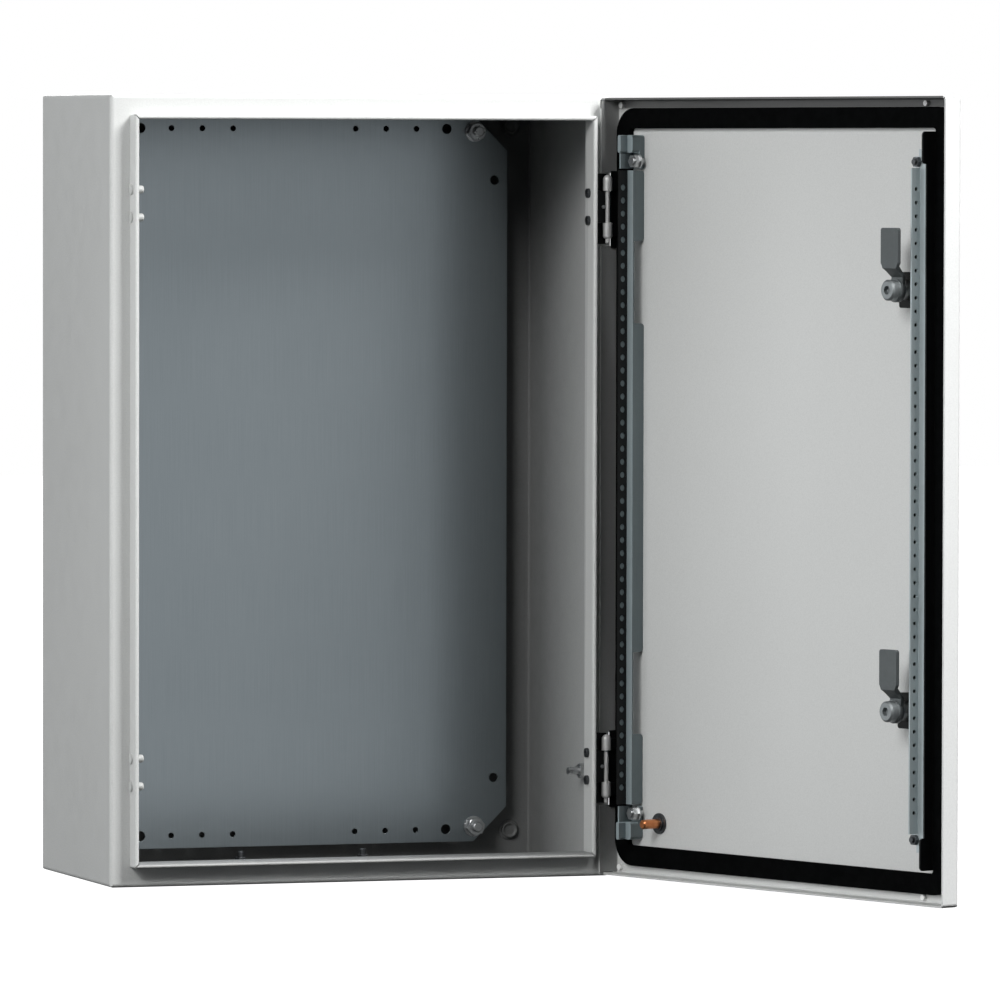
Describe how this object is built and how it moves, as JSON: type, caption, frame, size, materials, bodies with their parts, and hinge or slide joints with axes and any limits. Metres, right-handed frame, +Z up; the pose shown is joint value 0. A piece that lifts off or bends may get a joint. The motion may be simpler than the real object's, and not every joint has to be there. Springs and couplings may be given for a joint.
{
  "type": "steel wall enclosure",
  "caption": "Wall mounted steel enclosure with a gasketed hinged door standing open, a galvanised mounting plate and quarter turn cam locks.",
  "frame": {"origin": "on the wall plane, at the centre of the four wall fixing holes", "axes": "+Z up, +Y from the front towards the wall, +X to the right seen from the front"},
  "size_m": [0.5414, 0.5671, 0.6012],
  "materials": {
    "grey_paint": "fine textured powder coat",
    "galvanised": "matt zinc coated sheet",
    "zinc": "bright zinc plated",
    "copper": "copper plated",
    "black_plastic": "matt",
    "grey_plastic": "matt",
    "black_foam": "foamed seal"
  },
  "bodies": {
    "enclosure": {"body_wrapper": "grey_paint", "rear_panel": "grey_paint", "mounting_plate": "galvanised", "plate_studs": "zinc", "plate_spacers": "zinc", "plate_washers": "zinc", "plate_nuts": "zinc", "gland_plate": "grey_paint", "gland_gasket": "black_foam", "gland_screws": "zinc", "body_earth_stud": "zinc", "body_earth_nut": "zinc", "hinge_saddles": "black_plastic", "hinge_pins": "zinc", "hinge_screws": "zinc", "hinge_dowels": "zinc", "rim_plugs": "grey_plastic"},
    "door": {"door_panel": "grey_paint", "door_gasket": "black_foam", "hinge_lugs": "zinc", "hinge_brackets": "black_plastic", "hinge_rail": "galvanised", "hinge_rail_guard": "black_plastic", "latch_rail": "galvanised", "rail_end_brackets": "galvanised", "hinge_rail_studs": "zinc", "hinge_rail_nuts": "zinc", "latch_rail_studs": "zinc", "latch_rail_nuts": "zinc", "latch_guard": "black_plastic", "corner_plugs": "zinc", "door_earth_stud": "copper", "door_earth_washer": "zinc", "lock_housings": "black_plastic", "lock_seals": "black_foam"},
    "upper_lock": {"upper_spindle": "zinc", "upper_cam": "galvanised", "upper_cam_washer": "zinc", "upper_cam_bolt": "zinc"},
    "lower_lock": {"lower_spindle": "zinc", "lower_cam": "galvanised", "lower_cam_washer": "zinc", "lower_cam_bolt": "zinc"}
  },
  "joints": [
    {"name": "door_hinge", "type": "hinge", "parent": "enclosure", "child": "door", "pos_m": [0.195, -0.1965, 0], "axis": [0, 0, 1], "range_deg": [-110, 20]},
    {"name": "upper_cam_turn", "type": "hinge", "parent": "door", "child": "upper_lock", "pos_m": [0.32534, -0.51514, 0.1555], "axis": [0.9397, 0.342, 0], "range_deg": [0, 90]},
    {"name": "lower_cam_turn", "type": "hinge", "parent": "door", "child": "lower_lock", "pos_m": [0.32534, -0.51514, -0.1555], "axis": [0.9397, 0.342, 0], "range_deg": [0, 90]}
  ]
}
